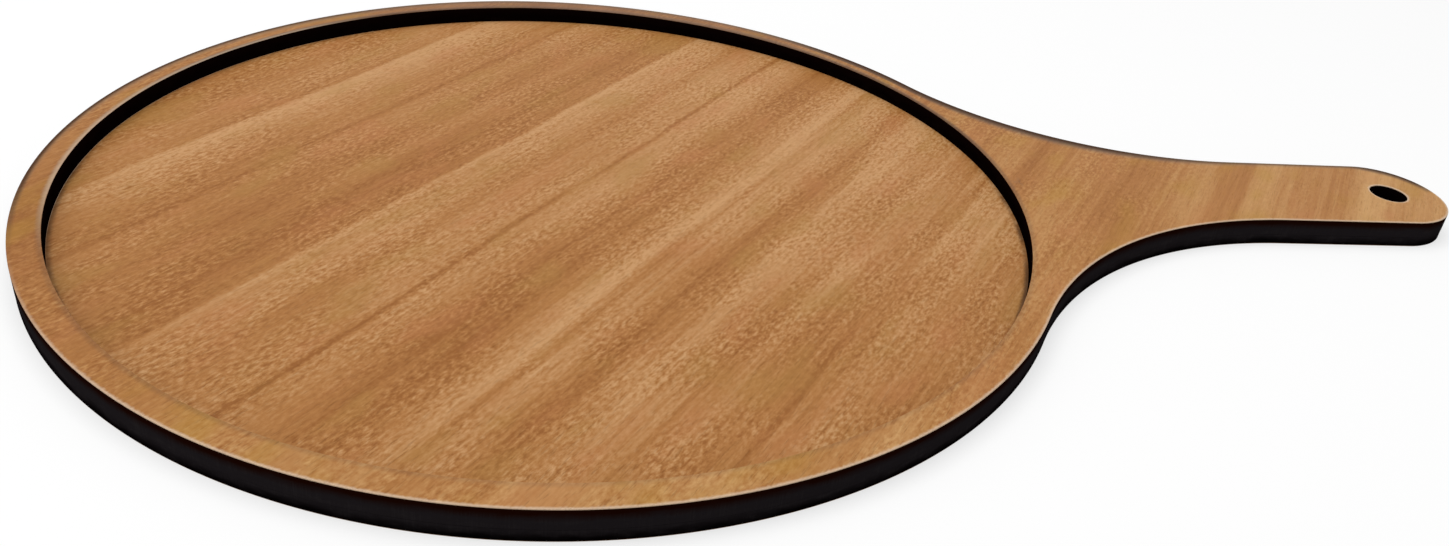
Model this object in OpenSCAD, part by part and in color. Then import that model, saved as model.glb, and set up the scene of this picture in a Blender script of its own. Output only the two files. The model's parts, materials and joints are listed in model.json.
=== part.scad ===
// Round serving board with a paddle handle, cut from two veneered fibreboard
// panels. The base panel is whole; the frame panel has a round window, so that
// gluing it on leaves a shallow dish with an upstanding rim. The origin is the
// disc's centre on the resting face, +X runs along the handle and +Z is up.

/* [Disc] */
// Diameter of the round board
disc_d = 300; // [220:5:400]
// Width of the raised rim round the dish
rim_w = 8; // [5:0.5:20]

/* [Handle] */
// Reach of the handle beyond the disc's edge
handle_l = 148; // [114:2:220]
// Width of the handle's grip, which ends in a full round
handle_w = 41; // [30:1:55]
// Radius of the two arcs that blend the disc into the grip
neck_r = 120; // [60:5:150]

/* [Hanging hole] */
// Diameter of the hole
hole_d = 12; // [6:0.5:20]
// Distance from the handle's tip to the hole's centre
hole_inset = 18.5; // [14:0.5:30]

/* [Base panel] */
// Thickness of the fibreboard core
base_core_t = 2.3; // [1.5:0.1:6]
// Thickness of the veneer that is the dish's floor
base_face_t = 0.5; // [0.3:0.1:1]
// Thickness of the veneer on the resting face
base_back_t = 0.5; // [0.3:0.1:1]

/* [Frame panel] */
// Thickness of the fibreboard core
frame_core_t = 4.6; // [3:0.1:9]
// Thickness of the veneer on the rim and the grip
frame_face_t = 0.5; // [0.3:0.1:1]
// Thickness of the balancing veneer on the glued side
frame_back_t = 0.5; // [0.3:0.1:1]

/* [Joint] */
// Thickness of the dried adhesive between the panels
glue_t = 0.1; // [0.05:0.05:0.3]

/* [Hidden] */

$fn = 180;
veneer_colour = "#B48557";
charred_colour = "#1E1818";
adhesive_colour = "#C9B68A";

disc_r = disc_d / 2;
dish_r = disc_r - rim_w;
grip_r = handle_w / 2;
hole_r = hole_d / 2;

tip_x = disc_r + handle_l;
hole_x = tip_x - hole_inset;

// Centre of the grip's round end
end_x = tip_x - grip_r;

// A neck arc touches the disc and the grip's side from outside, so its centre
// lies one arc radius beyond both. The radius is held to what leaves the grip
// a straight stretch between the arc's foot and the round end.
straight_min = grip_r;
neck_max_r = (pow(end_x - straight_min, 2) + pow(grip_r, 2) - pow(disc_r, 2))
    / (2 * (disc_r - grip_r));
arc_r = min(neck_r, neck_max_r);

// Each arc's circle runs this far into the disc and into the grip, so that it
// crosses them instead of leaving a sliver where they would only touch
overrun = 0.01;
neck_y = grip_r + arc_r - overrun;
neck_x = sqrt(pow(disc_r + arc_r - overrun, 2) - pow(neck_y, 2));

// Heights of the undersides of the layers, stacked from the resting face up
base_core_z = base_back_t;
base_face_z = base_core_z + base_core_t;
glue_z = base_face_z + base_face_t;
frame_back_z = glue_z + glue_t;
frame_core_z = frame_back_z + frame_back_t;
frame_face_z = frame_core_z + frame_core_t;

// The neck is what is left of the triangle between the disc's centre and the
// two arcs' centres when both arcs' circles are cut from it.
module neck() {
    difference() {
        polygon([[0, 0], [neck_x, -neck_y], [neck_x, neck_y]]);
        for (side = [-1, 1])
            translate([neck_x, side * neck_y]) circle(r = arc_r);
    }
}

// The grip starts inside the neck and ends in a full round
module grip() {
    translate([disc_r, -grip_r]) square([end_x - disc_r, handle_w]);
    translate([end_x, 0]) circle(r = grip_r);
}

module hanging_hole() {
    translate([hole_x, 0]) circle(r = hole_r);
}

// Outline of a panel that is cut to the whole board
module board_outline() {
    difference() {
        union() {
            circle(r = disc_r);
            neck();
            grip();
        }
        hanging_hole();
    }
}

// Outline of a panel that also has the dish's window
module frame_outline() {
    difference() {
        board_outline();
        circle(r = dish_r);
    }
}

module layer(z, thickness) {
    translate([0, 0, z]) linear_extrude(height = thickness) children();
}

module base_back_veneer() {
    color(veneer_colour) layer(0, base_back_t) board_outline();
}

module base_core() {
    color(charred_colour) layer(base_core_z, base_core_t) board_outline();
}

module base_face_veneer() {
    color(veneer_colour) layer(base_face_z, base_face_t) board_outline();
}

module glue_film() {
    color(adhesive_colour) layer(glue_z, glue_t) frame_outline();
}

module frame_back_veneer() {
    color(veneer_colour) layer(frame_back_z, frame_back_t) frame_outline();
}

module frame_core() {
    color(charred_colour) layer(frame_core_z, frame_core_t) frame_outline();
}

module frame_face_veneer() {
    color(veneer_colour) layer(frame_face_z, frame_face_t) frame_outline();
}

base_back_veneer();
base_core();
base_face_veneer();
glue_film();
frame_back_veneer();
frame_core();
frame_face_veneer();
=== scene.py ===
"""Dresses the round serving board: two laser-cut veneered panels, glued into a shallow dish.

Each of the board's seven layers becomes a closed sheet with the same outline and heights as its
solid in the frame. The cut edges are charred, and the outer arrises are eased by sanding.
Lengths are in metres, unless a name says mm. Across means at right angles to the wood's grain.
"""
import json
import logging
import math
from collections.abc import Callable
from dataclasses import dataclass, field, replace
from enum import Enum
from functools import reduce

import bmesh
import bpy
import numpy as np
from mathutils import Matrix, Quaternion, Vector


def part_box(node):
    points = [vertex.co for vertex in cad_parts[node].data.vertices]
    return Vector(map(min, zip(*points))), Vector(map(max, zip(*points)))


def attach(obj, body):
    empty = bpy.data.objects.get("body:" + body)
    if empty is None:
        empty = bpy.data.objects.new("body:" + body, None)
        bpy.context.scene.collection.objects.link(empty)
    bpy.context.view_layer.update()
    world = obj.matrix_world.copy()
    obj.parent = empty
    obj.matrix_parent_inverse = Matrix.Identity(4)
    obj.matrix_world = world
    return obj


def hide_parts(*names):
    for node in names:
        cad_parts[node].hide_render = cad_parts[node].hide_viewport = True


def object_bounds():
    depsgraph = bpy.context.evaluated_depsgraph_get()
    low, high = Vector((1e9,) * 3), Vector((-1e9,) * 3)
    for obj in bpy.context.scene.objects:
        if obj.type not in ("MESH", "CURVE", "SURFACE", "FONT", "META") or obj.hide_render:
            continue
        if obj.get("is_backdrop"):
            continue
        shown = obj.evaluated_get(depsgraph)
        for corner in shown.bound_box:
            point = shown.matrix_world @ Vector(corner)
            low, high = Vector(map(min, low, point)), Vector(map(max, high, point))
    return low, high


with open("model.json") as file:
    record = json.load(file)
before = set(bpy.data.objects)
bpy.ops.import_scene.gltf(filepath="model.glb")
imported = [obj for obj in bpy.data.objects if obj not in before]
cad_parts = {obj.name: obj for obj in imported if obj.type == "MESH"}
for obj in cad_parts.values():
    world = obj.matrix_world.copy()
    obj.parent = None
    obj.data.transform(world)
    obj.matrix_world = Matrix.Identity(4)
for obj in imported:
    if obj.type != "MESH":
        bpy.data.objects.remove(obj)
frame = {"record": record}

MM = 0.001
Socket = bpy.types.NodeSocket
Colour = tuple[float, float, float]
# A point of the plan, or the two values between which something changes
Pair = tuple[float, float]
log = logging.getLogger("board")


class Skin(Enum):
    """Number of each of a sheet's materials: on its faces, its outer edge and its openings' walls."""

    FACE = 0
    OUTSIDE = 1
    INSIDE = 2


class Arris(Enum):
    """Which corner of a sheet's cut edge is eased by sanding."""

    NONE = "none"
    UPPER = "upper"
    LOWER = "lower"


class Opening(Enum):
    """Whether a sheet runs on under the dish or has the dish's round window."""

    WHOLE = "whole"
    WINDOW = "window"


class Scorch(Enum):
    """How the smoke of the cut browned the veneer beside an edge.

    The values are the reach in mm on the clear side and in the smoke, the smoked side's direction
    in degrees from the handle, and the power that makes the reach fall away from that side.
    """

    NONE = (0.0, 0.0, 0.0, 1.0)
    DRIFTED = (0.0, 6.2, 104.0, 2.4)
    SEEPED = (1.0, 6.0, 80.0, 6.0)
    SMOKED = (1.0, 2.2, 115.0, 2.0)


# Places along the board between which the smoke thins out towards the grip, and how much it thins
THINNED = (175.0 * MM, 240.0 * MM)
THINNING = 0.55


def arc(centre: Pair, radius: float, start: float, end: float, steps: int) -> np.ndarray:
    """Points at even angles on a circle: centre + radius * (cos a, sin a), with a from start to end.

    Args:
        centre: the circle's centre.
        radius: its radius.
        start: the first point's angle, in radians.
        end: the last point's angle.
        steps: how many equal steps lie between them.

    Returns:
        steps + 1 points, one a row.
    """
    a = np.linspace(start, end, steps + 1)
    return np.array(centre) + radius * np.stack([np.cos(a), np.sin(a)], axis=1)


def line(start: Pair, end: Pair, steps: int) -> np.ndarray:
    """Points at even shares of a straight line: start + share * (end - start).

    Args:
        start: the first point.
        end: the last point.
        steps: how many equal steps lie between them.

    Returns:
        steps + 1 points, one a row.
    """
    share = np.linspace(0.0, 1.0, steps + 1)[:, None]
    return np.array(start) + share * (np.array(end) - np.array(start))


def joined(*stretches: np.ndarray) -> np.ndarray:
    """The stretches end to end, with the point where two meet kept once."""
    return np.concatenate([stretches[0]] + [stretch[1:] for stretch in stretches[1:]])


def closed(half: np.ndarray) -> np.ndarray:
    """A whole loop from the half above the handle's axis: the half, then its mirror image (x, -y) back."""
    return np.concatenate([half, half[-2:0:-1] * (1.0, -1.0)])


def browning(loop: np.ndarray, scorch: Scorch) -> np.ndarray:
    """How far the wood is browned beside each point of a loop that runs anticlockwise.

    Formula: clear + (smoked - clear) * share ** power * (1 - THINNING * along), where share is
    0.5 + 0.5 * (outward normal . smoked side's direction) and along runs from 0 to 1 over THINNED.

    Args:
        loop: the loop's points.
        scorch: the reaches, the smoked side and the power.

    Returns:
        The reach at each point, in mm.
    """
    clear, smoked, direction, power = scorch.value
    along = np.roll(loop, -1, axis=0) - np.roll(loop, 1, axis=0)
    outward = along[:, ::-1] * (1.0, -1.0) / np.linalg.norm(along, axis=1, keepdims=True)
    side = math.radians(direction)
    share = np.clip(0.5 + 0.5 * outward @ np.array([math.cos(side), math.sin(side)]), 0.0, 1.0)
    start, end = THINNED
    thinner = 1.0 - THINNING * np.clip((loop[:, 0] - start) / (end - start), 0.0, 1.0)
    return clear + (smoked - clear) * share**power * thinner


@dataclass(frozen=True)
class Steps:
    """How many steps cut up each stretch of the half outline, from the handle's tip to the back."""

    tip: int = 45
    beside_hole: int = 18
    grip: int = 22
    neck_foot: int = 44
    neck_root: int = 48
    disc: int = 250


@dataclass(frozen=True)
class Outline:
    """The board's plan: a disc, two neck arcs and a grip with a full round end, about the X axis.

    Each method gives the half with y >= 0 and takes how far the line lies inside the wood's edge.
    Moving every arc's radius and every line by that distance keeps the new line parallel.
    """

    disc_r: float
    window_r: float
    grip_r: float
    neck_r: float
    hole_r: float
    end_x: float
    hole_x: float
    steps: Steps = Steps()
    # Share of the neck's arc, from the grip on, that faces the grip's axis and not the window
    neck_foot_share: float = 0.53
    # Length of the grip's side that faces the hole's half towards the disc, in radii of the hole
    beside_hole_radii: float = 1.5

    @property
    def neck_centre(self) -> Pair:
        """Centre of the arc that touches the disc and the grip's side: one arc radius beyond both."""
        y = self.grip_r + self.neck_r
        return math.sqrt((self.disc_r + self.neck_r) ** 2 - y**2), y

    @property
    def neck_turn(self) -> float:
        """Direction from the disc's centre to the neck arc's centre, through the point where they touch."""
        x, y = self.neck_centre
        return math.atan2(y, x)

    def edge(self, inset: float) -> np.ndarray:
        """Half of the outer edge: round end, grip, hollow neck arc, disc.

        Args:
            inset: how far inside the edge the line lies.

        Returns:
            Points from the tip to the disc's back.
        """
        neck, turn, steps = self.neck_centre, self.neck_turn, self.steps
        side, start, end = self.grip_r - inset, 1.5 * math.pi, math.pi + turn
        split = start + self.neck_foot_share * (end - start)
        beside = self.end_x - self.beside_hole_radii * self.hole_r
        return joined(
            arc((self.end_x, 0.0), side, 0.0, math.pi / 2, steps.tip),
            line((self.end_x, side), (beside, side), steps.beside_hole),
            line((beside, side), (neck[0], side), steps.grip),
            arc(neck, self.neck_r + inset, start, split, steps.neck_foot),
            arc(neck, self.neck_r + inset, split, end, steps.neck_root),
            arc((0.0, 0.0), self.disc_r - inset, turn, math.pi, steps.disc),
        )

    def hole(self, inset: float) -> np.ndarray:
        """Half of the hanging hole's edge, from the tip's side round to the disc's side."""
        return joined(
            arc((self.hole_x, 0.0), self.hole_r + inset, 0.0, math.pi / 2, self.steps.tip),
            arc((self.hole_x, 0.0), self.hole_r + inset, math.pi / 2, math.pi, self.steps.beside_hole),
        )

    def window(self, inset: float) -> np.ndarray:
        """Half of the dish's round window, from the handle's side to the disc's back."""
        return joined(
            arc((0.0, 0.0), self.window_r + inset, 0.0, self.neck_turn, self.steps.neck_root),
            arc((0.0, 0.0), self.window_r + inset, self.neck_turn, math.pi, self.steps.disc),
        )

    def inner(self, inset: float) -> np.ndarray:
        """Half of the line that faces the outer edge step by step: hole, handle's axis, window.

        Args:
            inset: how far the line lies from the hole's and the window's edges.

        Returns:
            As many points as edge() gives, in the same order.
        """
        hole, window = self.hole(inset), self.window(inset)
        axis = line(tuple(hole[-1]), tuple(window[0]), self.steps.grip + self.steps.neck_foot)
        return joined(hole, axis * (1.0, 0.0), window)


class Shell:
    """Collects the surfaces of one sheet as grids of points, and closes them into one mesh."""

    WELD = 1e-7
    CREASE = math.radians(35.0)

    def __init__(self) -> None:
        """Starts an empty shell."""
        self.points: list[np.ndarray] = []
        self.faces: list[np.ndarray] = []
        self.skins: list[np.ndarray] = []
        self.margins: list[np.ndarray] = []
        self.browned: list[np.ndarray] = []
        self.count = 0

    def add(self, grid: np.ndarray, margin: np.ndarray, browned: np.ndarray, skin: Skin) -> None:
        """Adds a surface whose columns run round a loop and close on themselves.

        Args:
            grid: places of the points, as rows, columns and x, y, z.
            margin: distances from the worn edge, for each row or for each point.
            browned: how far the wood is browned, in mm, for each column or for each point.
            skin: which of the sheet's materials is on all of its faces.
        """
        rows, columns = grid.shape[:2]
        here = np.arange(rows * columns).reshape(rows, columns) + self.count
        beside = np.roll(here, -1, axis=1)
        quads = np.stack([here[:-1], beside[:-1], beside[1:], here[1:]], axis=-1).reshape(-1, 4)
        self.points.append(grid.reshape(-1, 3))
        self.faces.append(quads)
        self.skins.append(np.full(len(quads), skin.value))
        self.margins.append(np.broadcast_to(margin, (rows, columns)).reshape(-1))
        self.browned.append(np.broadcast_to(browned, (rows, columns)).reshape(-1))
        self.count += rows * columns

    def mesh(self, name: str) -> bpy.types.Mesh:
        """Welds the surfaces into one closed mesh that faces outwards, with its edge distance kept in mm.

        Args:
            name: the mesh's name.

        Returns:
            The mesh, smooth but for its square corners.
        """
        made = bpy.data.meshes.new(name)
        points, faces = np.concatenate(self.points), np.concatenate(self.faces)
        made.from_pydata(points, [], faces)
        made.polygons.foreach_set("material_index", np.concatenate(self.skins).astype(np.int32))
        wear = {"edge_mm": np.concatenate(self.margins) / MM, "browned_mm": np.concatenate(self.browned)}
        for label, values in wear.items():
            made.attributes.new(label, "FLOAT", "POINT").data.foreach_set("value", values.astype(np.float32))
        welded = bmesh.new()
        welded.from_mesh(made)
        bmesh.ops.remove_doubles(welded, verts=welded.verts, dist=self.WELD)
        bmesh.ops.recalc_face_normals(welded, faces=welded.faces)
        welded.to_mesh(made)
        welded.free()
        made.polygons.foreach_set("use_smooth", np.ones(len(made.polygons), dtype=bool))
        made.set_sharp_from_angle(angle=self.CREASE)
        made.update()
        return made


def rings(loops: list[np.ndarray], heights: np.ndarray) -> np.ndarray:
    """Loops laid at their heights, one a row: (x, y) of each loop's points, with the row's z.

    Args:
        loops: closed loops with equal numbers of points.
        heights: a height for each loop.

    Returns:
        A grid of rows, columns and x, y, z.
    """
    plan = np.stack(loops)
    z = np.broadcast_to(np.asarray(heights)[:, None, None], plan.shape[:2] + (1,))
    return np.concatenate([plan, z], axis=2)


@dataclass(frozen=True)
class Band:
    """A place across the grain, in mm from the disc's centre, and its tone, from 0 dark to 1 pale."""

    place: float
    tone: float


@dataclass(frozen=True)
class Vein:
    """A thin dark line along the grain: its place and half width in mm, and its depth of tone."""

    place: float
    half: float
    depth: float


@dataclass(frozen=True)
class Figure:
    """A soft noise of 0 to 1: the size of its lumps along the grain, across it and up, in mm.

    The shift keeps the noises of a material apart. The detail is how many finer noises it holds and
    the roughness how strong they are. The reach is how far it swings a tone or a place both ways.
    """

    pitch: tuple[float, float, float]
    shift: float
    detail: float = 2.0
    roughness: float = 0.5
    reach: float = 0.0


def each(kind: type, *rows: tuple) -> tuple:
    """The kind's objects, one from each row of its fields."""
    return tuple(kind(*row) for row in rows)


def shade(*colour: float) -> tuple[float, float, float, float]:
    """A colour socket's value from red, green and blue."""
    return (*colour, 1.0)


class Graph:
    """Adds shader nodes to the tree of one new material or world, each fed by the ones before it."""

    def __init__(self, owner: bpy.types.Material | bpy.types.World, seed: float = 0.0) -> None:
        """Empties the owner's tree.

        Args:
            owner: the material or the world.
            seed: shift that keeps its noises apart from those of other materials.
        """
        owner.use_nodes = True
        self.owner, self.seed, self.tree = owner, seed, owner.node_tree
        self.tree.nodes.clear()

    def node(self, kind: str, inputs: dict, **options: object) -> bpy.types.Node:
        """Adds a node.

        Args:
            kind: Blender's name for the node, without the word ShaderNode.
            inputs: for each socket, by name or number, its value or the socket that feeds it.
            options: the node's own settings.

        Returns:
            The node.
        """
        made = self.tree.nodes.new("ShaderNode" + kind)
        for option, value in options.items():
            setattr(made, option, value)
        for socket, value in inputs.items():
            if isinstance(value, Socket):
                self.tree.links.new(value, made.inputs[socket])
            else:
                made.inputs[socket].default_value = value
        return made

    def maths(self, operation: str, *values: object) -> Socket:
        """The result of a Math node on one, two or three values."""
        return self.node("Math", dict(enumerate(values)), operation=operation).outputs[0]

    def product(self, *values: object) -> Socket:
        """The values multiplied, one after another."""
        return reduce(lambda so_far, value: self.maths("MULTIPLY", so_far, value), values)

    def total(self, *values: object) -> Socket:
        """The values added, one after another."""
        return reduce(lambda so_far, value: self.maths("ADD", so_far, value), values)

    def scaled(self, value: Socket, factor: object, offset: object) -> Socket:
        """A value times a factor, plus an offset."""
        return self.maths("MULTIPLY_ADD", value, factor, offset)

    def swing(self, value: Socket, reach: float) -> Socket:
        """A noise of 0 to 1 turned into -reach to reach: 2 * reach * value - reach."""
        return self.scaled(value, 2.0 * reach, -reach)

    def between(self, value: Socket, low: object, high: object, least: float = 0.0,
                curve: str = "SMOOTHSTEP") -> Socket:
        """The least at low and 1 at high, held beyond them, and eased at both ends unless LINEAR."""
        inputs = {"Value": value, "From Min": low, "From Max": high, "To Min": least}
        return self.node("MapRange", inputs, interpolation_type=curve).outputs[0]

    def place(self, turn: float = 0.0) -> Socket:
        """Object coordinates in mm, turned about Z so that X runs along the grain.

        Args:
            turn: the grain's angle to the handle, in radians.

        Returns:
            The turned place.
        """
        source = self.node("TexCoord", {}).outputs["Object"]
        inputs = {"Vector": source, "Rotation": (0.0, 0.0, -turn), "Scale": (1 / MM,) * 3}
        return self.node("Mapping", inputs).outputs[0]

    def axis(self, place: Socket, letter: str) -> Socket:
        """One coordinate of a place."""
        return self.node("SeparateXYZ", {0: place}).outputs[letter]

    def radius(self, place: Socket) -> Socket:
        """How far a place lies from the disc's centre."""
        return self.node("VectorMath", {0: place}, operation="LENGTH").outputs["Value"]

    def attribute(self, name: str) -> Socket:
        """The value of one of the mesh's attributes."""
        return self.node("Attribute", {}, attribute_name=name).outputs["Fac"]

    def noise(self, place: Socket, figure: Figure) -> Socket:
        """A figure's noise, of 0 to 1.

        Args:
            place: the place, in mm.
            figure: the noise's lumps.

        Returns:
            The noise's value.
        """
        shift, scale = (self.seed + figure.shift,) * 3, tuple(1 / size for size in figure.pitch)
        vector = self.node("Mapping", {"Vector": place, "Location": shift, "Scale": scale}).outputs[0]
        inputs = {"Vector": vector, "Scale": 1.0, "Detail": figure.detail, "Roughness": figure.roughness}
        return self.node("TexNoise", inputs).outputs[0]

    def ramp(self, value: Socket, stops: list[tuple[float, object]]) -> Socket:
        """A Color Ramp on a value of 0 to 1.

        Args:
            value: the value.
            stops: places with a grey or a colour, from low to high.

        Returns:
            The ramp's colour.
        """
        made = self.node("ValToRGB", {"Fac": value})
        elements = made.color_ramp.elements
        while len(elements) < len(stops):
            elements.new(1.0)
        for element, (where, colour) in zip(elements, stops):
            element.position = where
            element.color = shade(*(colour if isinstance(colour, tuple) else (colour,) * 3))
        return made.outputs[0]

    def mix(self, share: object, first: object, second: object) -> Socket:
        """A colour between the first, at share 0, and the second, at share 1."""
        return self.node("Mix", {0: share, 6: first, 7: second}, data_type="RGBA").outputs[2]

    def bump(self, height: Socket, depth_mm: float) -> Socket:
        """Normals of a relief whose height runs from 0 to 1 over the depth."""
        inputs = {"Height": height, "Strength": 1.0, "Distance": depth_mm * MM}
        return self.node("Bump", inputs).outputs[0]

    def seen(self) -> Socket:
        """Tells the rays that the eye follows: from the camera, in a reflection or through glass.

        Returns:
            1 for these rays and 0 for the others.
        """
        path = self.node("LightPath", {}).outputs
        mirrored = self.maths("MAXIMUM", path["Is Glossy Ray"], path["Is Transmission Ray"])
        return self.maths("MAXIMUM", path["Is Camera Ray"], mirrored)

    def finish(self, inputs: dict) -> bpy.types.Material:
        """Ends a material in one Principled surface.

        Args:
            inputs: the surface's inputs, as node() takes them.

        Returns:
            The material.
        """
        surface = self.node("BsdfPrincipled", inputs).outputs[0]
        self.node("OutputMaterial", {"Surface": surface})
        return self.owner


class Reading(Enum):
    """What the marks of wear go by: places and distances in mm, and two noises."""

    X = "place along the handle"
    Y = "place across the handle"
    EDGE = "distance from the cut edge"
    BROWNED = "reach of the smoke beside it"
    OUTSIDE = "distance outwards from the dish's wall"
    INSIDE = "distance inwards from the dish's wall"
    RAGGED = "fraying of the marks"
    # This noise breaks up the painted shade at the foot of the dish's wall
    PATCHY = "gaps in the soot"


@dataclass(frozen=True)
class Gate:
    """Lets a mark grow from its least to its full strength as one reading runs from low to high."""

    reading: Reading
    low: float
    high: float
    least: float = 0.0


@dataclass(frozen=True)
class Mark:
    """A mark beside an edge, in mm: full up to its core, and gone at its width and a ragged part more.

    Its gates say where it shows, and its strength how far it covers the wood there.
    """

    tint: Colour
    beside: Reading
    core: float
    width: float
    ragged: float
    strength: float
    gates: tuple[Gate, ...]


# Tints of burnt wood, of smoked wood and of wood sanded or rubbed bare
TOASTED = (0.052, 0.018, 0.006)
SMOKED = (0.135, 0.132, 0.118)
FRESH = (0.750, 0.585, 0.430)
# Noises of the marks' fraying and of the gaps in the painted shade at the foot of the dish's wall
RAGGED = Figure((0.9, 0.9, 0.9), 2.2, 3.0)
PATCHY = Figure((22.0, 22.0, 22.0), 3.8)
# Fresh wood where sanding has eased an arris that the smoke did not reach
SANDED = Mark(
    FRESH, Reading.EDGE, core=0.15, width=0.35, ragged=1.4, strength=0.68,
    gates=each(Gate, (Reading.BROWNED, 0.9, 0.1)),
)
# Painted shade in the corner at the foot of the dish's wall, dark as burnt wood, with gaps, on the side
# across from the smoke
WALL_FOOT_SHADE = Mark(
    TOASTED, Reading.INSIDE, core=0.3, width=0.9, ragged=1.8, strength=0.82, gates=each(
        Gate, (Reading.INSIDE, -0.1, 0.0), (Reading.Y, 18.0, -2.0), (Reading.PATCHY, 0.36, 0.58, 0.35),
    ),
)
# Wood rubbed pale at the dish's lip, at the disc's back, where the smoke is thin
RUBBED = Mark(
    FRESH, Reading.OUTSIDE, core=0.5, width=1.6, ragged=1.2, strength=0.48, gates=each(
        Gate, (Reading.OUTSIDE, -0.1, 0.0), (Reading.X, -50.0, -100.0), (Reading.Y, -60.0, -10.0),
        (Reading.BROWNED, 4.0, 2.0),
    ),
)


class Wear:
    """Takes the readings of one leaf and lays its marks."""

    def __init__(self, graph: Graph, place: Socket, window_r: float) -> None:
        """Takes the readings.

        Args:
            graph: the material's graph.
            place: the place in mm, with X along the grain.
            window_r: radius of the dish's wall in mm, or 0.
        """
        board, outside = graph.place(), graph.maths("SUBTRACT", graph.radius(place), window_r)
        self.graph = graph
        self.readings = {
            Reading.X: graph.axis(board, "X"),
            Reading.Y: graph.axis(board, "Y"),
            Reading.EDGE: graph.attribute("edge_mm"),
            Reading.BROWNED: graph.attribute("browned_mm"),
            Reading.OUTSIDE: outside,
            Reading.INSIDE: graph.product(outside, -1.0),
            Reading.RAGGED: graph.noise(place, RAGGED),
            Reading.PATCHY: graph.noise(place, PATCHY),
        }

    def opened(self, gates: tuple[Gate, ...]) -> Socket:
        """How far the gates together let a mark grow."""
        spans = ((self.readings[gate.reading], gate.low, gate.high, gate.least) for gate in gates)
        return self.graph.product(*(self.graph.between(*span) for span in spans))

    def lay(self, mark: Mark, colour: Socket) -> Socket:
        """Lays one mark over a colour.

        Args:
            mark: the mark.
            colour: the wood's colour.

        Returns:
            The marked colour.
        """
        graph = self.graph
        width = graph.scaled(self.readings[Reading.RAGGED], mark.ragged, mark.width)
        grown = graph.between(self.readings[mark.beside], width, mark.core)
        share = graph.product(grown, self.opened(mark.gates), mark.strength)
        return graph.mix(share, colour, shade(*mark.tint))


@dataclass(frozen=True)
class Margin:
    """The smoke and the burn beside an edge, both wider and deeper at the neck's root and the end.

    Widths are in mm, and depths are shares of the full tint.
    """

    # Where the margin is on the handle's side, on the disc's back and at the neck's root
    right: tuple[Gate, ...] = each(Gate, (Reading.X, 70.0, 115.0))
    left: tuple[Gate, ...] = each(Gate, (Reading.X, -20.0, -110.0))
    root: tuple[Gate, ...] = each(
        Gate, (Reading.X, 245.0, 165.0), (Reading.OUTSIDE, 3.7, 5.2), (Reading.BROWNED, 0.6, 1.3),
    )
    # The handle's end, and how strong it is against the root
    end: tuple[Gate, ...] = each(Gate, (Reading.X, 275.0, 286.0), (Reading.BROWNED, 0.12, 0.45))
    end_share: float = 0.75
    # Reaches of the smoke between which the margin begins to show
    shown: Pair = (0.7, 1.7)
    # What fraying and the root add to the width of the smoke
    smoke_ragged: float = 2.0
    smoke_root: float = 2.8
    # Depth of the smoke, and what the root adds
    dulling: float = 0.50
    dulling_root: float = 0.38
    # Width of the burn, its share of the smoke's, what the root adds, and its evenly dark core
    burn: float = 1.5
    burn_share: float = 0.20
    burn_root: float = 3.1
    burn_core: float = 0.6
    # Depth of the burn, what the left, the right and the root add, and its limit
    depth: float = 0.34
    depth_left: float = 0.52
    depth_right: float = 0.24
    depth_root: float = 0.44
    deepest: float = 0.95

    def lay(self, wear: Wear, colour: Socket) -> tuple[Socket, Socket]:
        """Dulls the wood over the smoke's whole width, and darkens a thin line beside the edge.

        Args:
            wear: the leaf's readings.
            colour: the wood's colour.

        Returns:
            The browned colour, and how far the wood is burnt.
        """
        graph, edge, reach = wear.graph, wear.readings[Reading.EDGE], wear.readings[Reading.BROWNED]
        right = wear.opened(self.right)
        ended = graph.product(wear.opened(self.end), self.end_share)
        rooted = graph.maths("MAXIMUM", graph.product(right, wear.opened(self.root)), ended)
        shown = graph.between(graph.total(reach, rooted), *self.shown)
        width = graph.scaled(wear.readings[Reading.RAGGED], self.smoke_ragged, reach)
        width = graph.scaled(rooted, self.smoke_root, width)
        dulled = graph.scaled(rooted, self.dulling_root, self.dulling)
        smoke = graph.product(graph.between(edge, width, 0.0), shown, dulled)
        width = graph.scaled(rooted, self.burn_root, graph.scaled(width, self.burn_share, self.burn))
        depth = graph.scaled(wear.opened(self.left), self.depth_left, self.depth)
        depth = graph.scaled(rooted, self.depth_root, graph.scaled(right, self.depth_right, depth))
        depth = graph.maths("MINIMUM", depth, self.deepest)
        burn = graph.product(graph.between(edge, width, self.burn_core), depth, shown)
        colour = graph.mix(smoke, colour, shade(*SMOKED))
        return graph.mix(burn, colour, shade(*TOASTED)), burn


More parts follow.
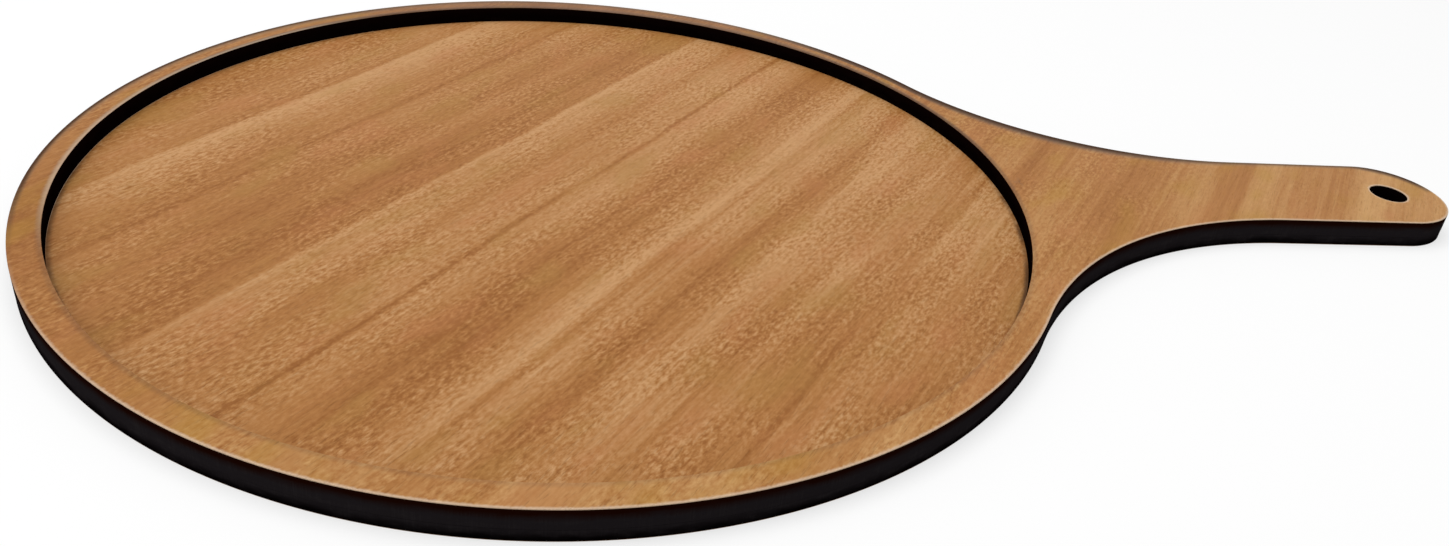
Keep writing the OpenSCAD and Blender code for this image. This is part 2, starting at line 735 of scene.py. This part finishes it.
@dataclass(frozen=True)
class Veneer:
    """Light brown, fine-pored veneer with a satin wax finish, browned and worn beside its cut edges, with
    painted shade at the foot of the dish's wall.

    Places are in mm, along and across the grain. Tones run from 0 dark to 1 pale.
    """

    name: str
    bands: tuple[Band, ...]
    veins: tuple[Vein, ...]
    seed: float = 0.0
    grain: float = math.radians(54.0)
    # Radius of the dish's wall, in mm, or 0 on a leaf that has none beside it
    window_r: float = 0.0
    margin: Margin = Margin()
    dark: Colour = (0.300, 0.108, 0.022)
    middle: Colour = (0.425, 0.184, 0.052)
    pale: Colour = (0.590, 0.320, 0.138)
    middle_tone: float = 0.45
    # Change of the tone along the grain, for each mm
    run: float = 0.0
    # Places across the grain that the bands span, and how far they wander
    span: Pair = (-250.0, 150.0)
    drift: Figure = Figure((80.0, 60.0, 60.0), 3.1, 4.0, 0.55, 2.3)
    # Strength of the bands, and how it comes and goes
    contrast: float = 1.05
    fading: Figure = Figure((70.0, 16.0, 60.0), 7.7, reach=0.55)
    # Places along the grain between which bands and streaks grow from least to full strength
    faded: Pair = (-130.0, -80.0)
    faded_least: float = 0.5
    # Gaps in the veins
    gaps: Figure = Figure((40.0, 9.0, 60.0), 1.3)
    gap: Pair = (0.24, 0.50)
    clouds: Figure = Figure((60.0, 45.0, 60.0), 0.0, 1.0, 0.6, 0.20)
    fibres: Figure = Figure((16.0, 0.8, 10.0), 14.6, 2.0, 0.6, 0.20)
    # Streaks, their strength on the leaf's high side and its low side, and where that changes
    streaks: Figure = Figure((70.0, 2.4, 20.0), 7.3, 2.0, 0.6, 0.46)
    streaked: Pair = (0.42, 1.02)
    streaked_side: Pair = (-30.0, -50.0)
    # Flecks, their strength, and where they turn from faint to strong
    flecks: Figure = Figure((2.2, 1.1, 3.0), 21.9, 3.0, 0.6, 1.10)
    flecked: float = 1.0
    flecked_side: Pair = (-175.0, -145.0)
    flecked_least: float = 0.28
    # Strength of the flecks everywhere, and what their patches add
    unpatched: float = 0.40
    patched: float = 0.86
    patches: Figure = Figure((26.0, 11.0, 60.0), 4.4, 3.0)
    patch: Pair = (0.34, 0.66)
    # Golden and rosy patches, their strength, and where each tint shows in their noise
    tints: Figure = Figure((34.0, 15.0, 40.0), 5.9)
    tinted: float = 0.38
    olive: Colour = (0.400, 0.208, 0.048)
    olive_patch: Pair = (0.52, 0.72)
    rose: Colour = (0.485, 0.188, 0.066)
    rose_patch: Pair = (0.47, 0.27)
    # Pores, and how far they darken and roughen the wood
    pores: Figure = Figure((4.5, 0.22, 3.0), 9.4, 1.0)
    pore: Pair = (0.60, 0.74)
    pore_stain: float = 0.20
    pore_rough: float = 0.15
    # Silk of the waxed fibres, which swings the roughness, and its share of the relief
    silk: Figure = Figure((14.0, 0.35, 4.0), 4.6, 3.0, 0.6, 0.10)
    silk_relief: float = 0.5
    rough: float = 0.56
    relief_mm: float = 0.04
    # Sheen of the wax, and what a burn takes away
    sheen: float = 0.16
    sheen_burnt: float = 0.15

    def share(self, place: float) -> float:
        """Where a place across the grain lies in the ramps' span, from 0 to 1."""
        low, high = self.span
        return (place - low) / (high - low)

    def leaf(self, graph: Graph, place: Socket) -> Socket:
        """Tone of the leaf's bands less its veins, both of which drift and fade along the grain.

        Args:
            graph: the material's graph.
            place: the place in mm, with X along the grain.

        Returns:
            The tone, 0 where the wood is dark and 1 where it is pale.
        """
        drift = graph.swing(graph.noise(place, self.drift), self.drift.reach)
        share = graph.between(graph.total(graph.axis(place, "Y"), drift), *self.span, curve="LINEAR")
        stops = [(self.share(band.place), band.tone) for band in self.bands]
        fading = graph.swing(graph.noise(place, self.fading), self.fading.reach)
        broad = graph.product(
            graph.maths("SUBTRACT", graph.ramp(share, stops), 0.5), graph.total(fading, self.contrast),
            self.clear(graph, place),
        )
        stops = [(0.0, 0.0)]
        for vein in self.veins:
            places = (vein.place - vein.half, vein.place, vein.place + vein.half)
            stops += zip(map(self.share, places), (0.0, vein.depth, 0.0))
        whole = graph.between(graph.noise(place, self.gaps), *self.gap)
        lines = graph.product(graph.ramp(share, stops), whole)
        return graph.total(graph.maths("SUBTRACT", broad, lines), 0.5)

    def clear(self, graph: Graph, place: Socket) -> Socket:
        """How clear the bands and the streaks are at a place along the grain."""
        return graph.between(graph.axis(place, "X"), *self.faded, self.faded_least, "LINEAR")

    def streaking(self, graph: Graph, place: Socket) -> Socket:
        """How strong the streaks are, faint on the leaf's high side and strong on its low side."""
        side, (faint, strong) = graph.between(graph.axis(place, "Y"), *self.streaked_side), self.streaked
        return graph.product(graph.scaled(side, strong - faint, faint), self.clear(graph, place))

    def flecking(self, graph: Graph, place: Socket) -> Socket:
        """How strong the flecks are, in patches and fainter towards the leaf's low side.

        Args:
            graph: the material's graph.
            place: the place in mm, with X along the grain.

        Returns:
            The strength.
        """
        patch = graph.between(graph.noise(place, self.patches), *self.patch)
        side = graph.between(graph.axis(place, "Y"), *self.flecked_side, self.flecked_least)
        return graph.product(graph.scaled(patch, self.patched, self.unpatched), side, self.flecked)

    def build(self) -> bpy.types.Material:
        """Makes the material.

        Returns:
            A satin wood whose colour, roughness and relief follow its grain.
        """
        graph = Graph(bpy.data.materials.new(self.name), self.seed)
        place = graph.place(self.grain)
        clouds, streaks, fibres, flecks = (
            graph.swing(graph.noise(place, figure), figure.reach)
            for figure in (self.clouds, self.streaks, self.fibres, self.flecks)
        )
        streaks = graph.product(streaks, self.streaking(graph, place))
        flecks = graph.product(flecks, self.flecking(graph, place))
        tone = graph.scaled(graph.axis(place, "X"), self.run, self.leaf(graph, place))
        tone = graph.total(tone, clouds, streaks, fibres, flecks)
        colour = graph.ramp(tone, [(0.0, self.dark), (self.middle_tone, self.middle), (1.0, self.pale)])
        patch = graph.noise(place, self.tints)
        for span, tint in ((self.olive_patch, self.olive), (self.rose_patch, self.rose)):
            share = graph.product(graph.between(patch, *span), self.tinted)
            colour = graph.mix(share, colour, shade(*tint))
        pores = graph.between(graph.noise(place, self.pores), *self.pore)
        colour = graph.mix(graph.product(pores, self.pore_stain), colour, shade(*TOASTED))
        wear = Wear(graph, place, self.window_r)
        colour, burnt = self.margin.lay(wear, colour)
        # The mark at the foot of the dish's wall paints the shade of that corner onto the dish's floor
        for mark in (SANDED, WALL_FOOT_SHADE, RUBBED) if self.window_r else (SANDED,):
            colour = wear.lay(mark, colour)
        silk = graph.noise(place, self.silk)
        relief = graph.maths("SUBTRACT", graph.product(silk, self.silk_relief), pores)
        rough = graph.total(graph.swing(silk, self.silk.reach), self.rough)
        return graph.finish({
            "Base Color": colour,
            "Roughness": graph.scaled(pores, self.pore_rough, rough),
            "Specular IOR Level": graph.scaled(burnt, -self.sheen_burnt, self.sheen),
            "Normal": graph.bump(graph.total(relief, flecks), self.relief_mm),
        })


@dataclass(frozen=True)
class Char:
    """The black skin that the laser leaves on a cut edge, browner near the top, greyest in the middle and
    darker towards the foot.

    Heights are shares of the board's thickness.
    """

    name: str
    foot: Colour
    middle: Colour
    head: Colour
    ash: Colour
    seed: float = 0.0
    board_mm: float = 9.0
    # Heights of the foot's colour, of the lowest and the highest middle colour, and of the head's
    heights: tuple[float, float, float, float] = (0.08, 0.34, 0.62, 0.86)
    # Lines that the beam left, soot that shifts the heights, and the char's crust
    ripple: Figure = Figure((0.32, 0.32, 9.0), 1.1, reach=0.30)
    soot: Figure = Figure((7.0, 7.0, 2.2), 6.3, 4.0, 0.6, 0.16)
    crust: Figure = Figure((0.16, 0.16, 0.22), 8.8)
    crust_relief: float = 0.35
    # Where the soot turns to ash, the heights at which the ash begins and ends, and its strength
    ashen: Pair = (0.45, 0.80)
    ash_foot: Pair = (0.05, 0.38)
    ash_head: Pair = (0.92, 0.66)
    ash_share: float = 0.5
    rough: float = 0.88
    rough_reach: float = 0.12
    relief_mm: float = 0.05

    def build(self) -> bpy.types.Material:
        """Makes the material.

        Returns:
            A matt near-black surface, streaked from top to bottom of the cut.
        """
        graph = Graph(bpy.data.materials.new(self.name), self.seed)
        place = graph.place()
        ripple, soot, crust = (graph.noise(place, figure) for figure in (self.ripple, self.soot, self.crust))
        height = graph.maths("DIVIDE", graph.axis(place, "Z"), self.board_mm)
        height = graph.total(height, graph.swing(soot, self.soot.reach))
        colours = (self.foot, self.middle, self.middle, self.head)
        colour = graph.ramp(height, list(zip(self.heights, colours)))
        ash = graph.product(
            graph.between(graph.total(soot, graph.swing(ripple, self.ripple.reach)), *self.ashen),
            graph.between(height, *self.ash_foot), graph.between(height, *self.ash_head), self.ash_share,
        )
        return graph.finish({
            "Base Color": graph.mix(ash, colour, shade(*self.ash)),
            "Roughness": graph.total(graph.swing(soot, self.rough_reach), self.rough),
            "Specular IOR Level": 0.0,
            "Normal": graph.bump(graph.scaled(crust, self.crust_relief, ripple), self.relief_mm),
        })


@dataclass(frozen=True)
class Fibreboard:
    """The pressed brown fibres of a core's faces, hidden between its veneers."""

    name: str
    dark: Colour = (0.150, 0.082, 0.040)
    pale: Colour = (0.330, 0.215, 0.120)
    blend: Pair = (0.25, 0.8)
    # Short felt, and the longer fibres along and across the board
    felt: Figure = Figure((0.5, 0.5, 0.5), 0.4, 4.0, 0.7, 0.4)
    along: Figure = Figure((3.0, 0.3, 0.5), 2.7)
    across: Figure = Figure((0.3, 3.0, 0.5), 5.2)
    rough: float = 0.86
    rough_reach: float = 0.08
    sheen: float = 0.2
    relief_mm: float = 0.06

    def build(self) -> bpy.types.Material:
        """Makes the material.

        Returns:
            A matt felt of short fibres that lie every way.
        """
        graph = Graph(bpy.data.materials.new(self.name))
        place = graph.place()
        felt = graph.noise(place, self.felt)
        fibres = graph.total(graph.noise(place, self.along), graph.noise(place, self.across))
        blend = graph.between(graph.scaled(fibres, 0.5, graph.swing(felt, self.felt.reach)), *self.blend)
        return graph.finish({
            "Base Color": graph.ramp(blend, [(0.0, self.dark), (1.0, self.pale)]),
            "Roughness": graph.total(graph.swing(felt, self.rough_reach), self.rough),
            "Specular IOR Level": self.sheen,
            "Normal": graph.bump(felt, self.relief_mm),
        })


@dataclass(frozen=True)
class Glue:
    """Dried adhesive: an amber film with thin and thick patches, dragged by the spreader."""

    name: str
    thin: Colour = (0.62, 0.52, 0.31)
    thick: Colour = (0.42, 0.28, 0.11)
    blend: Pair = (0.3, 0.75)
    patch: Figure = Figure((6.0, 6.0, 3.0), 3.3, 4.0, 0.6)
    drag: Figure = Figure((40.0, 0.8, 3.0), 7.9, reach=0.2)
    # Roughness of the film, and what a thick patch takes away
    rough: float = 0.55
    smoother: float = 0.25
    relief_mm: float = 0.02

    def build(self) -> bpy.types.Material:
        """Makes the material.

        Returns:
            A smooth film whose colour and gloss change with its patches.
        """
        graph = Graph(bpy.data.materials.new(self.name))
        place = graph.place()
        patch, drag = graph.noise(place, self.patch), graph.noise(place, self.drag)
        blend = graph.between(graph.total(patch, graph.swing(drag, self.drag.reach)), *self.blend)
        return graph.finish({
            "Base Color": graph.ramp(blend, [(0.0, self.thin), (1.0, self.thick)]),
            "Roughness": graph.scaled(patch, -self.smoother, self.rough),
            "Normal": graph.bump(drag, self.relief_mm),
        })


@dataclass(frozen=True)
class Cut:
    """The laser's kerf through one panel, and the sanding of its arrises."""

    taper: float = 0.05 * MM
    # Radius of the quarter round on an eased arris, outside and round the dish
    easing: float = 0.25 * MM
    window_easing: float = 0.12 * MM
    easing_steps: int = 5
    # Distances from the cut edge of the rings that carry the worn margin
    margins: tuple[float, ...] = (3.0 * MM, 2.0 * MM, 1.2 * MM, 0.8 * MM, 0.5 * MM, 0.35 * MM)

    def lean(self, height: float, low: float, high: float) -> float:
        """The kerf is widest at the laser's side, on top: taper * height's share of the panel."""
        return self.taper * (height - low) / (high - low)


@dataclass(frozen=True)
class Dress:
    """The materials of one sheet: on its faces, on its outer edge, and on the dish's wall and the hole's."""

    face: bpy.types.Material
    outside: bpy.types.Material
    inside: bpy.types.Material


@dataclass(frozen=True)
class Lip:
    """How one loop of a sheet's cut edge is finished: its wall's material, arris and wear."""

    wall: Skin
    easing: float
    scorch: Scorch = Scorch.NONE


@dataclass
class Sheet:
    """One layer of a panel: a closed shell between two heights, on the board's outline."""

    name: str
    node: str
    slot: str
    dress: Dress
    opening: Opening
    outline: Outline
    cut: Cut
    # Heights of the whole panel that the sheet was cut with
    panel: Pair
    arris: Arris = Arris.NONE
    scorch: Scorch = Scorch.NONE
    window_scorch: Scorch = Scorch.NONE
    recess: float = 0.0
    dish_rings: int = 24
    flat_rings: int = 6
    low: float = field(init=False)
    high: float = field(init=False)

    def __post_init__(self) -> None:
        """Takes the sheet's heights from its solid in the frame."""
        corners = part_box(self.node)
        self.low, self.high = corners[0][2], corners[1][2]

    def profile(self, easing: float) -> tuple[np.ndarray, int, int]:
        """Section of the cut edge, from the upper face's margin over the edge to the lower face's margin.

        An eased arris is a quarter circle that touches the face and the edge: with a from 90 to 0
        degrees, inset = lean + r - r cos a and height = face - r + r sin a.

        Args:
            easing: the quarter circle's radius r.

        Returns:
            Rows of inset and height, and the rows where the cut wall starts and ends.
        """
        cut, r = self.cut, easing
        top_lean = cut.lean(self.high, *self.panel) + self.recess
        base_lean = cut.lean(self.low, *self.panel) + self.recess
        a = np.linspace(math.pi / 2, 0.0, cut.easing_steps + 1)
        quarter = np.stack([r - r * np.cos(a), r - r * np.sin(a)], axis=1)
        corner = np.zeros((1, 2))
        upper = quarter if self.arris is Arris.UPPER else corner
        lower = quarter[::-1] if self.arris is Arris.LOWER else corner
        margins = np.array(cut.margins)
        section = np.concatenate([
            np.stack([margins, np.full(len(margins), self.high)], axis=1),
            upper * (1, -1) + (top_lean, self.high),
            lower + (base_lean, self.low),
            np.stack([margins[::-1], np.full(len(margins), self.low)], axis=1),
        ])
        return section, len(margins) + len(upper) - 1, len(margins) + len(upper)

    def add_edge(self, shell: Shell, loop: Callable[[float], np.ndarray], lip: Lip) -> None:
        """Carries the section along a loop: each row of it is the loop moved inwards by its inset.

        A face that lies in the joint is charred as far as its first margin ring, and shows no wear.

        Args:
            shell: the shell that takes the surfaces.
            loop: the outline's method that gives half of the loop.
            lip: how the loop's edge is finished.
        """
        section, first, last = self.profile(lip.easing)
        grid = rings([closed(loop(inset)) for inset in section[:, 0]], section[:, 1])
        top = first if self.arris is Arris.UPPER else first - 1
        foot = last if self.arris is Arris.LOWER else last + 1
        distance, scorch = section[:, :1], lip.scorch
        if self.arris is Arris.NONE:
            distance, scorch = np.full_like(distance, self.cut.margins[0]), Scorch.NONE
        browned = browning(closed(loop(0.0)), scorch)
        walls, faces = slice(top, foot + 1), (slice(0, top + 1), slice(foot, None))
        for rows, skin in ((faces[0], Skin.FACE), (walls, lip.wall), (faces[1], Skin.FACE)):
            shell.add(grid[rows], distance[rows], browned, skin)

    def add_faces(self, shell: Shell, height: float) -> None:
        """Rules a flat face between the outer edge's margin and the line that faces it.

        Each point lies at share * outer + (1 - share) * inner, and so does its browned reach. Its
        distance from an edge is the margin and the nearer share of the gap between the two lines.
        A whole sheet's disc under the dish is polar: the share of the window's radius along the
        window's directions.

        Args:
            shell: the shell that takes the surfaces.
            height: the face's height.
        """
        margin = self.cut.margins[0]
        outer, inner = closed(self.outline.edge(margin)), closed(self.outline.inner(margin))
        on_window = np.isclose(np.linalg.norm(inner, axis=1), self.outline.window_r + margin)
        inner_reach = np.where(on_window, browning(inner, self.window_scorch), 0.0)
        fields = [(outer, browning(outer, self.scorch), inner, inner_reach, self.flat_rings)]
        if self.opening is Opening.WHOLE:
            window, none = closed(self.outline.window(margin)), np.zeros(1)
            fields.append((window, none, np.zeros_like(window), none, self.dish_rings))
        for far, far_reach, near, near_reach, steps in fields:
            share = np.linspace(0.0, 1.0, steps + 1)[:, None]
            flat = list(share[..., None] * far + (1.0 - share[..., None]) * near)
            gap = np.linalg.norm(far - near, axis=1)
            margins = margin + np.minimum(share, 1.0 - share) * gap
            browned = share * far_reach + (1.0 - share) * near_reach
            shell.add(rings(flat, np.full(len(flat), height)), margins, browned, Skin.FACE)

    def build(self) -> bpy.types.Object:
        """Makes the sheet, puts it in its node's place and reports it.

        Returns:
            The sheet's object, at the origin.
        """
        shell = Shell()
        self.add_edge(shell, self.outline.edge, Lip(Skin.OUTSIDE, self.cut.easing, self.scorch))
        self.add_edge(shell, self.outline.hole, Lip(Skin.INSIDE, self.cut.easing))
        if self.opening is Opening.WINDOW:
            lip = Lip(Skin.INSIDE, self.cut.window_easing, self.window_scorch)
            self.add_edge(shell, self.outline.window, lip)
        self.add_faces(shell, self.high)
        self.add_faces(shell, self.low)
        mesh = shell.mesh(self.name)
        for material in (self.dress.face, self.dress.outside, self.dress.inside):
            mesh.materials.append(material)
        piece = bpy.data.objects.new(self.name, mesh)
        bpy.context.scene.collection.objects.link(piece)
        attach(piece, "root")
        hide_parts(self.node)
        log.info("%s: %d faces, %.2f mm thick", self.name, len(mesh.polygons), (self.high - self.low) / MM)
        return piece


DISH_LEAF = Veneer(
    "dish_veneer",
    each(
        Band,
        (-128, 0.50), (-118, 0.58), (-97, 0.50), (-91, 0.68), (-86, 0.46), (-81, 0.66), (-73, 0.80),
        (-62, 0.32), (-54, 0.68), (-48, 0.62), (-42, 0.88), (-37, 0.58), (-28, 0.34), (-20, 0.32),
        (-11, 0.68), (10, 0.60), (15, 0.42), (19.5, 0.62), (25.5, 0.74), (28.5, 0.68), (31, 0.98),
        (32.6, 0.34), (46, 0.26), (54, 0.46), (61, 0.33), (71, 0.52), (86, 0.44), (97, 0.74),
        (104.5, 0.96), (105.8, 0.42), (116, 0.56), (126, 0.42),
    ),
    each(
        Vein, (-106, 1.3, 0.30), (-101, 1.1, 0.34), (-46, 1.3, 0.36), (-29, 1.2, 0.34), (-21.5, 1.0, 0.26),
        (-3, 1.6, 0.60), (42, 1.2, 0.20), (78, 2.0, 0.34),
    ),
    run=0.0008,
)
RIM_LEAF = Veneer(
    "rim_veneer",
    each(
        Band,
        (-238, 0.80), (-230, 0.78), (-220, 1.00), (-213, 0.61), (-204, 0.68), (-194, 0.72), (-188, 0.85),
        (-184.5, 0.82), (-183, 0.54), (-178, 0.49), (-168, 0.76), (-160, 0.63), (-152, 0.48), (-146, 0.48),
        (-140, 0.60), (-134, 0.64), (-126, 0.54), (-118, 0.34), (-110, 0.66), (-98, 0.50), (-85, 0.61),
        (-62, 0.47), (-42, 0.53), (-15, 0.51), (10, 0.35), (35, 0.26), (59, 0.23), (82, 0.04), (101, 0.08),
        (118, 0.30), (145, 0.36),
    ),
    each(Vein, (-193, 1.2, 0.25), (-140, 1.2, 0.20), (-70, 1.5, 0.30), (40, 1.5, 0.30)),
    seed=20.0,
    faded=(-400.0, -300.0),
    flecked=0.74,
    run=-0.0007,
    streaked=(0.40, 0.78),
    tinted=0.46,
    pale=(0.590, 0.325, 0.125),
    olive=(0.430, 0.222, 0.032),
    rose=(0.475, 0.195, 0.066),
)
RESTING_LEAF = Veneer(
    "resting_veneer",
    each(
        Band,
        (-240, 0.50), (-205, 0.36), (-170, 0.62), (-150, 0.40), (-120, 0.56), (-96, 0.30), (-70, 0.60),
        (-40, 0.44), (-8, 0.66), (10, 0.34), (38, 0.54), (64, 0.42), (90, 0.70), (118, 0.36), (145, 0.52),
    ),
    each(Vein, (-130, 1.5, 0.30), (-20, 1.6, 0.35), (52, 1.4, 0.30)),
    seed=40.0,
    grain=math.radians(50.0),
)
OUTER_CHAR = Char(
    "outer_char", foot=(0.0026, 0.0017, 0.0018), middle=(0.0215, 0.0175, 0.0195),
    head=(0.0165, 0.0032, 0.0010), ash=(0.0340, 0.0290, 0.0300),
)
# The dish's wall and the hole's wear a copy of the char about ten times darker than the outer edge's:
# painted shade for these inner walls
SHADED_INNER_CHAR = Char(
    "shaded_inner_char", foot=(0.0018, 0.0006, 0.0006), middle=(0.0020, 0.0007, 0.0007),
    head=(0.0042, 0.0014, 0.0012), ash=(0.0060, 0.0034, 0.0030), seed=15.0,
)
BARE_CORE = Fibreboard("bare_fibreboard")
JOINT_GLUE = Glue("dried_glue")


class Finishes:
    """The board's materials, each made once and shared by the sheets that wear it."""

    def __init__(self, window_r: float) -> None:
        """Makes all the materials.

        Args:
            window_r: radius of the wall round the dish's floor.
        """
        edges = (OUTER_CHAR.build(), SHADED_INNER_CHAR.build())
        dish, rim = (replace(leaf, window_r=window_r / MM) for leaf in (DISH_LEAF, RIM_LEAF))
        self.dish, self.rim, self.resting, self.core, self.glue = (
            Dress(face.build(), *edges) for face in (dish, rim, RESTING_LEAF, BARE_CORE, JOINT_GLUE)
        )


@dataclass
class Panel:
    """A veneered fibreboard panel: its sheets from the bottom up, cut out with one pass of the laser."""

    outline: Outline
    finishes: Finishes
    cut: Cut = Cut()

    def common(self, lowest: str, highest: str, opening: Opening) -> dict[str, object]:
        """What all of the panel's sheets share.

        Args:
            lowest: the panel's lowest node.
            highest: its highest node.
            opening: whether the panel has the dish's window.

        Returns:
            The sheets' shared fields.
        """
        panel = (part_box(lowest)[0][2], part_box(highest)[1][2])
        return {"opening": opening, "outline": self.outline, "cut": self.cut, "panel": panel}


@dataclass
class BasePanel(Panel):
    """The whole panel that rests on the table and whose upper veneer is the dish's floor."""

    def build(self) -> list[bpy.types.Object]:
        """Makes the resting veneer, the core and the dish's floor."""
        common = self.common("base_back_veneer", "base_face_veneer", Opening.WHOLE)
        return [
            Sheet("resting_face_sheet", "base_back_veneer", "veneer", self.finishes.resting,
                  arris=Arris.LOWER, scorch=Scorch.SMOKED, **common).build(),
            Sheet("base_core_sheet", "base_core", "charred_core", self.finishes.core, **common).build(),
            Sheet("dish_floor_sheet", "base_face_veneer", "veneer", self.finishes.dish, **common).build(),
        ]


@dataclass
class FramePanel(Panel):
    """The panel with the dish's window, whose upper veneer shows on the rim and the grip."""

    def build(self) -> list[bpy.types.Object]:
        """Makes the backing veneer, the core and the veneer of the rim and the grip."""
        common = self.common("frame_back_veneer", "frame_face_veneer", Opening.WINDOW)
        return [
            Sheet("frame_backing_sheet", "frame_back_veneer", "veneer", self.finishes.resting,
                  **common).build(),
            Sheet("frame_core_sheet", "frame_core", "charred_core", self.finishes.core, **common).build(),
            Sheet("rim_and_grip_sheet", "frame_face_veneer", "veneer", self.finishes.rim,
                  arris=Arris.UPPER, scorch=Scorch.DRIFTED, window_scorch=Scorch.SEEPED,
                  **common).build(),
        ]


@dataclass
class GlueJoint(Panel):
    """The dried film between the panels, drawn back a little from their edges."""

    recess: float = 0.12 * MM

    def build(self) -> list[bpy.types.Object]:
        """Makes the film."""
        common = self.common("glue_film", "glue_film", Opening.WINDOW)
        return [
            Sheet("glue_film_sheet", "glue_film", "adhesive", self.finishes.glue, recess=self.recess,
                  **common).build()
        ]


@dataclass(frozen=True)
class Softbox:
    """A square lamp: its name, its middle, its side and its power in watts."""

    name: str
    middle: tuple[float, float, float]
    side: float
    power: float


@dataclass(frozen=True)
class Studio:
    """The pale floor, the soft lamps and the camera at the photograph's viewing angle."""

    floor_reach: float = 6.0
    floor_cells: int = 8
    floor_tint: Colour = (0.40, 0.40, 0.40)
    floor_glow: float = 0.62
    # Distances from the board's centre, in mm, between which the floor turns to the surround's white
    floor_end: Pair = (450.0, 1500.0)
    sky_strength: float = 0.32
    lamps: tuple[Softbox, ...] = (
        Softbox("softbox_top", (-0.10, 0.10, 1.60), 1.5, 17.5),
        Softbox("softbox_left", (-1.4, -0.5, 1.6), 1.5, 8.0),
    )
    camera_place: tuple[float, float, float] = (-0.00860, -0.33018, 0.17763)
    camera_aim: tuple[float, float, float] = (0.04170, -0.05891, 0.00900)
    camera_roll: float = math.radians(6.490)
    lens_mm: float = 29.703
    sensor_mm: float = 36.0
    nearest_seen: float = 0.01

    def build_floor(self) -> bpy.types.Object:
        """Makes the floor, a flat grid at z = 0, that keeps the board's shadow.

        Far from the board, where the lamps no longer reach, it runs out to plain white.

        Returns:
            The floor's object.
        """
        side = np.linspace(-self.floor_reach, self.floor_reach, self.floor_cells + 1)
        x, y = np.meshgrid(side, side)
        points = np.stack([x, y, np.zeros_like(x)], axis=-1).reshape(-1, 3)
        here = np.arange(x.size).reshape(x.shape)
        corners = (here[:-1, :-1], here[:-1, 1:], here[1:, 1:], here[1:, :-1])
        quads = np.stack(corners, axis=-1).reshape(-1, 4)
        mesh = bpy.data.meshes.new("studio_floor")
        mesh.from_pydata(points, [], quads)
        floor = bpy.data.objects.new("studio_floor", mesh)
        bpy.context.scene.collection.objects.link(floor)
        graph = Graph(bpy.data.materials.new("floor_paper"))
        far = graph.between(graph.radius(graph.place()), *self.floor_end)
        glow = graph.product(graph.scaled(far, 1.0 - self.floor_glow, self.floor_glow), graph.seen())
        tint = graph.mix(far, shade(*self.floor_tint), shade(0.0, 0.0, 0.0))
        matt = graph.node("BsdfDiffuse", {"Color": tint}).outputs[0]
        light = graph.node("Emission", {"Color": shade(1.0, 1.0, 1.0), "Strength": glow}).outputs[0]
        both = graph.node("AddShader", {0: matt, 1: light}).outputs[0]
        graph.node("OutputMaterial", {"Surface": both})
        mesh.materials.append(graph.owner)
        floor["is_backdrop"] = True
        return floor

    def build_sky(self) -> None:
        """Makes the even white surround, which the eye sees at a strength of 1."""
        world = bpy.data.worlds.new("studio_surround")
        bpy.context.scene.world = world
        graph = Graph(world)
        strength = graph.scaled(graph.seen(), 1.0 - self.sky_strength, self.sky_strength)
        sky = graph.node("Background", {"Color": shade(1.0, 1.0, 1.0), "Strength": strength}).outputs[0]
        graph.node("OutputWorld", {"Surface": sky})

    def build_lamps(self) -> None:
        """Hangs the softboxes, turned to the board."""
        for box in self.lamps:
            lamp = bpy.data.lights.new(box.name, "AREA")
            lamp.shape, lamp.size, lamp.energy = "SQUARE", box.side, box.power
            hung = bpy.data.objects.new(box.name, lamp)
            hung.location = box.middle
            hung.rotation_euler = (-Vector(box.middle)).to_track_quat("-Z", "Y").to_euler()
            bpy.context.scene.collection.objects.link(hung)

    def build_camera(self) -> None:
        """Sets the camera where the photograph's fitted lens stood, rolled about its own axis."""
        lens = bpy.data.cameras.new("camera")
        lens.lens, lens.sensor_width, lens.sensor_fit = self.lens_mm, self.sensor_mm, "HORIZONTAL"
        lens.clip_start = self.nearest_seen
        camera = bpy.data.objects.new("camera", lens)
        camera.location = self.camera_place
        look = Vector(self.camera_aim) - Vector(self.camera_place)
        turn = look.to_track_quat("-Z", "Y") @ Quaternion((0.0, 0.0, 1.0), self.camera_roll)
        camera.rotation_euler = turn.to_euler()
        bpy.context.scene.collection.objects.link(camera)
        bpy.context.scene.camera = camera

    def build(self) -> None:
        """Sets the whole stage and the plain view settings."""
        self.build_floor()
        self.build_sky()
        self.build_lamps()
        self.build_camera()
        bpy.context.scene.view_settings.view_transform = "Standard"


def board_outline(grip_r: float = 20.5 * MM, neck_r: float = 120.0 * MM, rim: float = 8.0 * MM) -> Outline:
    """Takes the disc and the handle's reach from the frame's box, and the hole from its mount.

    Args:
        grip_r: half of the grip's width.
        neck_r: radius of the neck's arcs.
        rim: width of the rim.

    Returns:
        The outline, held a hair inside the solids' facets.
    """
    low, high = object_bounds()
    disc_r = min(-low[0], high[1])
    mount = next(m for m in frame["record"]["mounts"] if m["name"] == "hanging_hole")
    return Outline(
        disc_r=disc_r,
        window_r=disc_r - rim,
        grip_r=grip_r,
        neck_r=neck_r,
        hole_r=mount["dims"]["r_mm"] * MM,
        end_x=high[0] - grip_r,
        hole_x=mount["pos_m"][0],
    )


def main() -> None:
    """Builds the panels from the table up, then the stage."""
    logging.basicConfig(level=logging.INFO, format="%(message)s")
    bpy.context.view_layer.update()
    outline = board_outline()
    finishes = Finishes(outline.window_r)
    for kind in (BasePanel, GlueJoint, FramePanel):
        part = kind(outline, finishes)
        pieces = part.build()
        log.info("%s: %d pieces", type(part).__name__, len(pieces))
    Studio().build()


if __name__ == "__main__":
    main()
